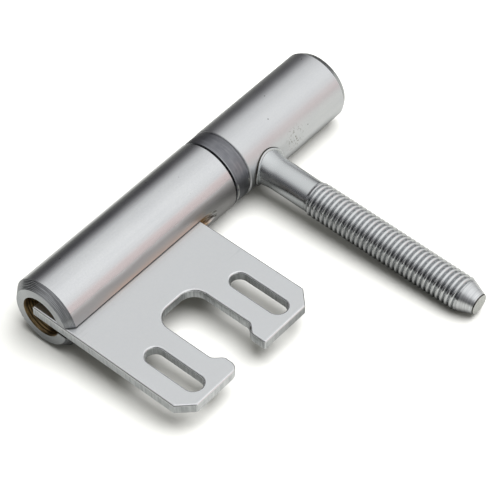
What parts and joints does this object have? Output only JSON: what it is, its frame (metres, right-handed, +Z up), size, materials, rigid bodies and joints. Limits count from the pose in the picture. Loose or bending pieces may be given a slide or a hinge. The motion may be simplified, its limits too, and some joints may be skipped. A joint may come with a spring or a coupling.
{
  "type": "drill-in hinge",
  "caption": "Lift-off drill-in hinge: turned roll in two sleeves on a pin, punched slotted leaf for the frame, threaded stem for the door.",
  "frame": {"origin": "on the table, under the middle of the hinge's own box", "axes": "+X along the roll from the frame sleeve to the door sleeve, leaf and stem towards -Y, +Z up from the table"},
  "size_m": [0.085, 0.07, 0.016],
  "materials": {
    "sleeve_zinc": "satin zinc plate on turned steel",
    "leaf_zinc": "satin zinc plate on punched sheet steel",
    "stem_zinc": "bright zinc plate on a rolled thread",
    "pin_steel": "ground steel",
    "ring_dark": "dark turned steel, scratched"
  },
  "bodies": {
    "frame_half": {"frame_sleeve": "sleeve_zinc", "frame_leaf": "leaf_zinc", "hinge_pin": "pin_steel"},
    "ring": {"bearing_ring": "ring_dark"},
    "door_half": {"door_sleeve": "sleeve_zinc", "door_stem": "stem_zinc"}
  },
  "joints": [
    {"name": "lift_off", "type": "slide", "parent": "frame_half", "child": "ring", "axis": [1, 0, 0], "range_m": [0, 0.0224]},
    {"name": "swing", "type": "hinge", "parent": "ring", "child": "door_half", "pos_m": [0.0111, 0.027, 0.008], "axis": [1, 0, 0], "continuous": true}
  ]
}
